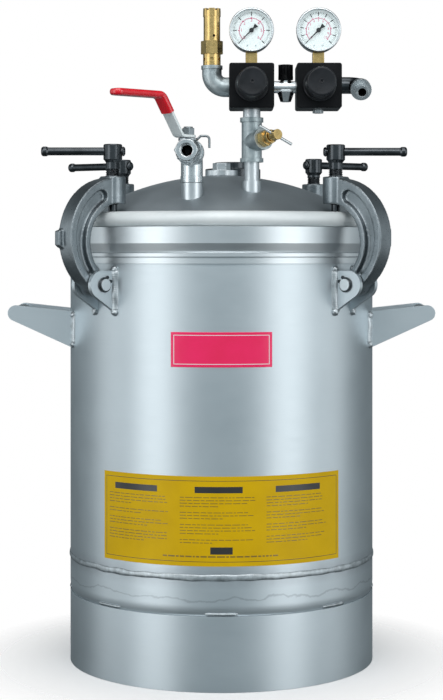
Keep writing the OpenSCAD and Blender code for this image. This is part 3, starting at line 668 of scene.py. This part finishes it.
def clamp_castings():
    """The arms as castings: remeshed so that every edge and inner corner is rounded over."""
    for name in CLAMPS:
        source = NODES["clamp_arm_" + name]
        shape = bpy.data.objects.new("shape", source.data.copy())
        bpy.context.scene.collection.objects.link(shape)
        weld = shape.modifiers.new("weld", "WELD")
        weld.merge_threshold = 1e-6
        remesh = shape.modifiers.new("remesh", "REMESH")
        remesh.mode = "VOXEL"
        remesh.voxel_size = 1.0 * MM
        smooth = shape.modifiers.new("smooth", "SMOOTH")
        smooth.factor = 0.5
        smooth.iterations = 5
        evaluated = shape.evaluated_get(bpy.context.evaluated_depsgraph_get())
        bm = bmesh.new()
        bm.from_mesh(evaluated.to_mesh())
        evaluated.to_mesh_clear()
        bpy.data.objects.remove(shape)
        piece("casting_" + name, bm, "clamp_" + name, FINISHES["cast"],
              stands_for=["clamp_arm_" + name], sharp=80)


# ---------- welds ----------

def girth_weld(bm):
    count = round(math.tau * TANK_R / RIPPLE_PITCH) * 4
    wave = drift(21)
    path = []
    for i in range(count):
        a = 360 * i / count
        out = on_barrel(1, a, 0)
        lift = 0.5 * MM * wave(math.sin(math.radians(a)) * 9 + math.cos(math.radians(a)) * 7)
        path.append((on_barrel(TANK_R, a, WELD_Z + lift), out, UP))
    bead(bm, path, GIRTH_HALF_WIDTH, GIRTH_HEIGHT, seed=22, closed=True)


def stitch_welds(bm):
    for i in range(STITCHES):
        middle = 360 * i / STITCHES
        count = 70
        path = []
        for k in range(count + 1):
            a = middle + STITCH_HALF_ANGLE * (2 * k / count - 1)
            out = on_barrel(1, a, 0)
            path.append((on_barrel(TANK_R - 0.9 * MM, a, FOOT_Z + 2.6 * MM), out, UP))
        bead(bm, path, 1.7 * MM, 1.5 * MM, seed=30 + i)


def root_weld(bm, angle, y, low, high, seed):
    """An upright bead in the corner between the barrel and a plate that stands on it."""
    turn = Matrix.Rotation(math.radians(angle), 3, "Z")
    side = 1 if y > 0 else -1
    corner = Vector((math.sqrt(TANK_R ** 2 - y ** 2), y, 0))
    out = Vector((0.80, 0.60 * side, 0))
    across = Vector((-0.60, 0.80 * side, 0))
    count = round((high - low) / (0.6 * MM))
    path = []
    for i in range(count + 1):
        z = low + (high - low) * i / count
        path.append((turn @ (corner + Vector((-0.2 * MM, 0, z))), turn @ out, turn @ across))
    bead(bm, path, 6.5 * MM, 4.2 * MM, seed=seed, fade=5 * MM)
    for z in (low + 1.5 * MM, high - 1.5 * MM):
        blob(bm, turn @ (corner + Vector((0, 0, z))), 5.2 * MM, seed + round(z / MM))


def blob(bm, centre, radius, seed):
    """A lump of weld metal where a bead starts or stops."""
    wave = drift(seed)
    made = bmesh.ops.create_icosphere(bm, subdivisions=3, radius=radius, matrix=Matrix.Translation(centre))
    for vert in made["verts"]:
        away = vert.co - centre
        vert.co = centre + away * (0.85 + 0.12 * wave((away.x + 0.7 * away.y + 1.3 * away.z) / (2 * MM)))


def welds():
    bm = bmesh.new()
    girth_weld(bm)
    stitch_welds(bm)
    piece("weld_seams", bm, "tank", WELD, stands_for=["weld_beads"], sharp=75)
    ear_low, ear_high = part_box("clamp_brackets")
    plate_low, plate_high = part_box("handle_plates")
    bm = bmesh.new()
    for k, name in enumerate(CLAMPS):
        pin = JOINTS[f"clamp_{name}_swing"]["pos_m"]
        angle = math.degrees(math.atan2(pin[1], pin[0]))
        for side in (-1, 1):
            root_weld(bm, angle, side * EAR_FACE, ear_low.z - 2 * MM, ear_high.z + 3 * MM, 50 + 3 * k + side)
    for angle in (0, 180):
        for side in (-1, 1):
            seed = 70 + angle + side
            root_weld(bm, angle, side * PLATE_FACE, plate_low.z + 1 * MM, plate_high.z - 10 * MM, seed)
    piece("weld_roots", bm, "tank", WELD, sharp=75)


# ---------- printed plates ----------

def word_line(bm, rng, low, high, a0, a1, z, height):
    """A line of small dashes with gaps between them, like a row of fine print."""
    a = a0
    while a < a1 - 0.5:
        end = min(a1, a + rng.uniform(0.7, 2.9))
        barrel_patch(bm, low, high, a, end, z - height / 2, z + height / 2)
        a = end + 0.42


def plates():
    plate_low, plate_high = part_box("label_plates")
    panel_low = plate_low.z
    panel_high = panel_low + PANEL_H
    badge_high = plate_high.z
    badge_low = badge_high - BADGE_H
    face = TANK_R + PANEL_T
    ink = face + INK_T
    bm = bmesh.new()
    barrel_patch(bm, TANK_R, face, -PANEL_HALF_ANGLE, PANEL_HALF_ANGLE, panel_low, panel_high)
    piece("yellow_panel", bm, "tank", FINISHES["label"], stands_for=["label_plates"])

    def height_at(share):
        return panel_high - share * PANEL_H

    bm = bmesh.new()
    edge, line = 45.7, 0.5 * MM
    top, bottom = height_at(0.048), height_at(0.952)
    side_a = math.degrees(line / TANK_R)
    barrel_patch(bm, face, ink, -edge, edge, top - line, top)
    barrel_patch(bm, face, ink, -edge, edge, bottom, bottom + line)
    barrel_patch(bm, face, ink, -edge, side_a - edge, bottom + line, top - line)
    barrel_patch(bm, face, ink, edge - side_a, edge, bottom + line, top - line)
    for a0, a1 in ((-41.2, -23.2), (-9.4, 7.4), (19.3, 37.4)):
        barrel_patch(bm, face, ink, a0, a1, height_at(0.185), height_at(0.115))
    barrel_patch(bm, face, ink, -3.9, 3.9, height_at(0.866), height_at(0.786))
    piece("panel_bars", bm, "tank", BLACK_INK)

    bm = bmesh.new()
    rng = random.Random(11)
    columns = (
        (-44.0, -18.8, (4, 2, 3, 4)),
        (-14.7, 11.9, (4, 3, 4, 2)),
        (15.9, 41.0, (4, 3, 3, 3)),
    )
    for a0, a1, groups in columns:
        share = 0.235
        for lines in groups:
            for i in range(lines):
                end = a1 - (rng.uniform(0.3, 0.6) * (a1 - a0) if i == lines - 1 else rng.uniform(0, 3))
                word_line(bm, rng, face, ink, a0, end, height_at(share), 0.8 * MM)
                share += 0.033
            share += 0.036
    word_line(bm, rng, face, ink, -21, 21, height_at(0.892), 1.6 * MM)
    piece("panel_lines", bm, "tank", GREY_INK)

    bm = bmesh.new()
    barrel_patch(bm, TANK_R, TANK_R + BADGE_T, -BADGE_HALF_ANGLE, BADGE_HALF_ANGLE, badge_low, badge_high)
    badge = piece("red_badge", bm, "tank", BADGE_RED)
    bevel = badge.modifiers.new("bevel", "BEVEL")
    bevel.width = 0.3 * MM
    bevel.segments = 3
    bevel.limit_method = "ANGLE"
    bm = bmesh.new()
    face = TANK_R + BADGE_T
    ink = face + INK_T
    a, line, inset = BADGE_HALF_ANGLE - 1.0, 0.7 * MM, 3 * MM
    side_a = math.degrees(line / TANK_R)
    top, bottom = badge_high - inset, badge_low + inset
    barrel_patch(bm, face, ink, -a, a, top - line, top)
    barrel_patch(bm, face, ink, -a, a, bottom, bottom + line)
    barrel_patch(bm, face, ink, -a, side_a - a, bottom + line, top - line)
    barrel_patch(bm, face, ink, a - side_a, a, bottom + line, top - line)
    piece("badge_frame", bm, "tank", BADGE_LINE)


# ---------- ball valve ----------

def lever():
    stem = Vector(JOINTS["ball_valve_turn"]["pos_m"])
    grip_mesh = NODES["lever_grip"].data
    tip = max((v.co for v in grip_mesh.vertices), key=lambda p: (p.xy - stem.xy).length)
    reach = (tip.xy - stem.xy).length
    heading = (tip.xy - stem.xy).normalized()
    strap_low, strap_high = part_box("valve_lever")
    z0 = strap_low.z + STRAP_T / 2
    z1 = strap_high.z - STRAP_T / 2

    def place(along, across, z):
        flat = stem.xy + heading * along + Vector((-heading.y, heading.x)) * across
        return Vector((flat.x, flat.y, z))

    bend_low = (LEVER_FLAT, z0)
    bend_high = (LEVER_FLAT + LEVER_RUN, z1)
    strap_path = subdivided(
        filleted([(-STRAP_W / 2, z0), bend_low, bend_high, (reach - 8 * MM, z1)], 6 * MM), 1.6 * MM)
    bm = bmesh.new()
    strip(bm, strap_path, STRAP_W / 2, STRAP_T, 0.5 * MM, place, True, False)
    piece("lever_strap", bm, "lever", STRAP, stands_for=["valve_lever"], sharp=50)

    rise = Vector(bend_high) - Vector(bend_low)
    start = Vector(bend_low) + rise * SLEEVE_START
    sleeve_path = subdivided(
        filleted([tuple(start), bend_high, (reach, z1)], 8 * MM), 1.2 * MM)
    bm = bmesh.new()
    strip(bm, sleeve_path, SLEEVE_W / 2, SLEEVE_T, 3.2 * MM, place, False, True)
    piece("lever_sleeve", bm, "lever", FINISHES["red_vinyl"],
          stands_for=["lever_grip"], sharp=60)


def helix(bm, centre, axis, radius, depth, pitch, length):
    """An inward thread ridge that winds along an axis."""
    aim = UP.rotation_difference(axis)
    steps = 48
    count = round(length / pitch * steps)
    rings = []
    for i in range(count + 1):
        a = math.tau * i / steps
        z = pitch * i / steps
        ring = []
        for r, dz in ((radius, -0.42 * pitch), (radius - depth, -0.08 * pitch),
                      (radius - depth, 0.08 * pitch), (radius, 0.42 * pitch)):
            ring.append(centre + aim @ Vector((r * math.cos(a), r * math.sin(a), z + dz)))
        rings.append(add_ring(bm, ring))
    skin(bm, rings)


def outlet_thread():
    mount = next(m for m in frame["record"]["mounts"] if m["name"] == "material_outlet")
    axis = Vector(mount["axis"])
    radius = mount["dims"]["r_mm"] * MM
    length = mount["dims"]["length_mm"] * MM
    bm = bmesh.new()
    bottom = Vector(mount["pos_m"]) - axis * (length / 2 - 2 * MM)
    helix(bm, bottom, axis, radius, 0.85 * MM, 1.34 * MM, length - 4 * MM)
    piece("outlet_thread", bm, "lid", FINISHES["plated"], sharp=60)


# ---------- gauges and regulators ----------

def gauge_cases():
    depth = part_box("gauge_cases")[1].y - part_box("gauge_cases")[0].y
    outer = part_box("gauge_cases")[1].x - JOINTS["gauge_right_sweep"]["pos_m"][0]
    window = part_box("gauge_lenses")[1].x - JOINTS["gauge_right_sweep"]["pos_m"][0] + 0.05 * MM
    back = outer - 1 * MM
    profile = [(window, 8 * MM), (window, 1.0 * MM)]
    profile += arc_points((window + 0.8 * MM, 0.8 * MM), 0.8 * MM, 180, 270, 4)
    profile += arc_points((outer - 1.5 * MM, 1.5 * MM), 1.5 * MM, -90, 0, 6)
    profile += [(outer, 5.6 * MM)]
    profile += arc_points((outer - 1.2 * MM, 6.6 * MM), 1.2 * MM, 0, 70, 4)
    profile += [(back - 0.4 * MM, 8.6 * MM), (back, 9.6 * MM)]
    profile += arc_points((back - 4 * MM, depth - 4 * MM), 4 * MM, 0, 90, 8)
    inside = depth - 1.5 * MM
    profile += [(0, depth), (0, inside), (back - 2.5 * MM, inside), (back - 2.4 * MM, 8 * MM)]
    bm = bmesh.new()
    for side in SIDES:
        centre = Vector(JOINTS[f"gauge_{side}_sweep"]["pos_m"])
        turned(bm, profile, centre, Vector((0, 1, 0)))
    piece("gauge_housings", bm, "lid", FINISHES["plated"],
          stands_for=["gauge_cases"], sharp=50)


def radial(bm, centre, angle, r0, r1, width, y):
    """A thin upright bar on the dial, from radius r0 to r1."""
    a = math.radians(angle)
    out = Vector((math.cos(a), 0, math.sin(a)))
    across = Vector((-math.sin(a), 0, math.cos(a))) * (width / 2)
    rings = []
    for depth in (y - INK_T, y):
        base = Vector((centre.x, depth, centre.z))
        near, far = base + out * r0, base + out * r1
        rings.append(add_ring(bm, [near - across, far - across, far + across, near + across]))
    skin(bm, rings)


def numeral(bm, value, size, centre, y):
    """A number that stands upright on the dial."""
    curve = bpy.data.curves.new("numeral", "FONT")
    curve.body = str(value)
    curve.size = size
    curve.align_x = "CENTER"
    curve.align_y = "CENTER"
    curve.extrude = INK_T / 2
    curve.resolution_u = 3
    shape = bpy.data.objects.new("numeral", curve)
    bpy.context.scene.collection.objects.link(shape)
    shape.matrix_world = Matrix.Translation((centre.x, y, centre.z)) @ Matrix.Rotation(math.pi / 2, 4, "X")
    bpy.context.view_layer.update()
    evaluated = shape.evaluated_get(bpy.context.evaluated_depsgraph_get())
    mesh = bpy.data.meshes.new_from_object(evaluated)
    mesh.transform(shape.matrix_world)
    bm.from_mesh(mesh)
    bpy.data.meshes.remove(mesh)
    bpy.data.objects.remove(shape)
    bpy.data.curves.remove(curve)


def dial_prints():
    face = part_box("gauge_dials")[0].y
    black, red = bmesh.new(), bmesh.new()
    for side in SIDES:
        centre = Vector(JOINTS[f"gauge_{side}_sweep"]["pos_m"])
        steps = DIAL_STEPS[side]
        fine = steps * (10 if side == "left" else 5)
        for i in range(fine + 1):
            angle = DIAL_START - DIAL_SWEEP * i / fine
            major = i % (fine // steps) == 0
            radial(black, centre, angle, (16.4 if major else 18.6) * MM, 20.8 * MM,
                   (1.0 if major else 0.32) * MM, face)
            radial(red, centre, angle, 13.6 * MM, (15.2 if major else 14.5) * MM,
                   (0.8 if major else 0.35) * MM, face)
        for i in range(steps + 1):
            angle = math.radians(DIAL_START - DIAL_SWEEP * i / steps)
            spot = centre + Vector((math.cos(angle), 0, math.sin(angle))) * (11.2 * MM)
            numeral(red, i, (5.0 if side == "left" else 3.8) * MM, spot, face - INK_T / 2)
        for i in range(90):
            angle = DIAL_START - DIAL_SWEEP * (i + 0.5) / 90
            radial(red, centre, angle, 13.2 * MM, 13.7 * MM, 0.8 * MM, face)
    piece("dial_ticks", black, "lid", DIAL_BLACK)
    piece("dial_numbers", red, "lid", DIAL_RED)
    bm = bmesh.new()
    screw = [(0, 0), (0, 0.35 * MM), (0.25 * MM, 0.35 * MM), (0.35 * MM, 0.5 * MM), (0.8 * MM, 0.42 * MM),
             (1.0 * MM, 0.2 * MM), (1.0 * MM, 0)]
    for side in SIDES:
        centre = Vector(JOINTS[f"gauge_{side}_sweep"]["pos_m"])
        for x in (-4.8, 4.8):
            spot = Vector((centre.x + x * MM, face, centre.z - 16.8 * MM))
            turned(bm, screw, spot, Vector((0, -1, 0)), 20)
    piece("dial_screws", bm, "lid", FINISHES["plated"])


def regulator_knobs():
    """Turned knobs with a base collar, a groove, a rounded rim and a small dimple in the face."""
    face_y = JOINTS["regulator_left_turn"]["pos_m"][1]
    reach = face_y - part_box("regulator_knob_left")[0].y
    shaft = -12 * MM
    profile = [(0, shaft), (4 * MM, shaft), (4 * MM, 0.4 * MM), (17.6 * MM, 0.4 * MM)]
    profile += arc_points((17.6 * MM, 1.3 * MM), 0.9 * MM, -90, 0, 4)
    profile += arc_points((17.5 * MM, 9.0 * MM), 1.0 * MM, 0, 80, 4)
    profile += [(17.0 * MM, 10.6 * MM), (16.8 * MM, 12.2 * MM), (17.2 * MM, 13.2 * MM)]
    profile += arc_points((13.9 * MM, reach - 2.3 * MM), 2.2 * MM, 8, 90, 8)
    profile += [(12.9 * MM, reach - 0.35 * MM), (2.6 * MM, reach - 0.45 * MM), (2.1 * MM, reach - 0.1 * MM),
                (1.5 * MM, reach - 0.3 * MM), (0.7 * MM, reach - 1.3 * MM), (0, reach - 1.5 * MM)]
    for side in SIDES:
        bm = bmesh.new()
        turned(bm, profile, Vector(JOINTS[f"regulator_{side}_turn"]["pos_m"]), Vector((0, -1, 0)))
        piece("knob_cap_" + side, bm, "knob_" + side, KNOB, stands_for=["regulator_knob_" + side],
              sharp=35)


# ---------- studio ----------

def floor():
    """A pale floor that fades into the background away from the pot."""
    bm = bmesh.new()
    bmesh.ops.create_grid(bm, x_segments=8, y_segments=8, size=4)
    mesh = bpy.data.meshes.new("floor")
    bm.to_mesh(mesh)
    bm.free()
    obj = bpy.data.objects.new("floor", mesh)
    bpy.context.scene.collection.objects.link(obj)
    obj.location.z = -0.2 * MM
    s = Shader("floor_paint", roughness=0.7)
    s.put("Base Color", (0.93, 0.935, 0.94, 1))
    away = s.node("VectorMath", operation="LENGTH")
    s.feed(away.inputs[0], s.place)
    clear = s.node("BsdfTransparent")
    both = s.node("MixShader")
    s.feed(both.inputs["Fac"], s.span(away.outputs["Value"], 0, 1, 0.12, 0.31))
    s.feed(both.inputs[1], s.surface.outputs["BSDF"])
    s.feed(both.inputs[2], clear.outputs["BSDF"])
    s.feed(s.tree.nodes["Material Output"].inputs["Surface"], both.outputs["Shader"])
    paint(obj, s.material)
    obj.visible_glossy = False


def softbox(name, azimuth, elevation, distance, width, height, radiance, aim):
    """A soft area light. Azimuth 0 is the camera's side and grows towards +X, in degrees."""
    light = bpy.data.lights.new(name, "AREA")
    light.shape = "RECTANGLE"
    light.size = width
    light.size_y = height
    light.energy = radiance * math.pi * width * height
    obj = bpy.data.objects.new(name, light)
    bpy.context.scene.collection.objects.link(obj)
    a, e = math.radians(azimuth), math.radians(elevation)
    away = Vector((math.sin(a) * math.cos(e), -math.cos(a) * math.cos(e), math.sin(e)))
    obj.location = aim + away * distance
    obj.rotation_mode = "QUATERNION"
    obj.rotation_quaternion = away.to_track_quat("Z", "Y")
    obj.visible_camera = False


def background():
    """White where the camera looks past the pot. Elsewhere a grey room, darker above, below and behind."""
    world = bpy.data.worlds.new("studio")
    bpy.context.scene.world = world
    world.use_nodes = True
    tree = world.node_tree
    tree.nodes.clear()
    output = tree.nodes.new("ShaderNodeOutputWorld")
    mix = tree.nodes.new("ShaderNodeMixShader")
    seen = tree.nodes.new("ShaderNodeBackground")
    room = tree.nodes.new("ShaderNodeBackground")
    path = tree.nodes.new("ShaderNodeLightPath")
    place = tree.nodes.new("ShaderNodeTexCoord")
    split = tree.nodes.new("ShaderNodeSeparateXYZ")
    ramp = tree.nodes.new("ShaderNodeValToRGB")
    height = tree.nodes.new("ShaderNodeMapRange")
    behind = tree.nodes.new("ShaderNodeMapRange")
    seen.inputs["Color"].default_value = (1, 1, 1, 1)
    height.inputs["From Min"].default_value = -1
    behind.inputs["From Min"].default_value = -0.3
    behind.inputs["From Max"].default_value = 0.8
    behind.inputs["To Min"].default_value = 1.0
    behind.inputs["To Max"].default_value = ROOM_BEHIND
    tree.links.new(place.outputs["Generated"], split.inputs["Vector"])
    tree.links.new(split.outputs["Z"], height.inputs["Value"])
    tree.links.new(split.outputs["Y"], behind.inputs["Value"])
    tree.links.new(height.outputs["Result"], ramp.inputs["Fac"])
    for position, value in ROOM_STOPS[1:-1]:
        ramp.color_ramp.elements.new(position)
    for element, (position, value) in zip(ramp.color_ramp.elements, ROOM_STOPS):
        element.position = position
        element.color = (*scaled(ROOM_TINT, value), 1)
    tree.links.new(ramp.outputs["Color"], room.inputs["Color"])
    tree.links.new(behind.outputs["Result"], room.inputs["Strength"])
    tree.links.new(path.outputs["Is Camera Ray"], mix.inputs["Fac"])
    tree.links.new(room.outputs["Background"], mix.inputs[1])
    tree.links.new(seen.outputs["Background"], mix.inputs[2])
    tree.links.new(mix.outputs["Shader"], output.inputs["Surface"])


def studio():
    floor()
    background()
    middle = Vector((0, 0, 0.4))
    for name, azimuth, elevation, distance, width, height, radiance in SOFTBOXES:
        softbox(name, azimuth, elevation, distance, width, height, radiance, middle)


def camera():
    data = bpy.data.cameras.new("camera")
    data.lens = CAMERA_LENS
    data.sensor_width = 36
    data.shift_y = CAMERA_SHIFT
    obj = bpy.data.objects.new("camera", data)
    bpy.context.scene.collection.objects.link(obj)
    obj.location = (0, -CAMERA_DISTANCE, CAMERA_HEIGHT)
    obj.rotation_euler = (math.pi / 2, 0, 0)
    bpy.context.scene.camera = obj


finish_cad_nodes()
ease_edges()
clamp_castings()
welds()
plates()
lever()
outlet_thread()
gauge_cases()
dial_prints()
regulator_knobs()
studio()
camera()
bpy.context.scene.view_settings.view_transform = "Standard"
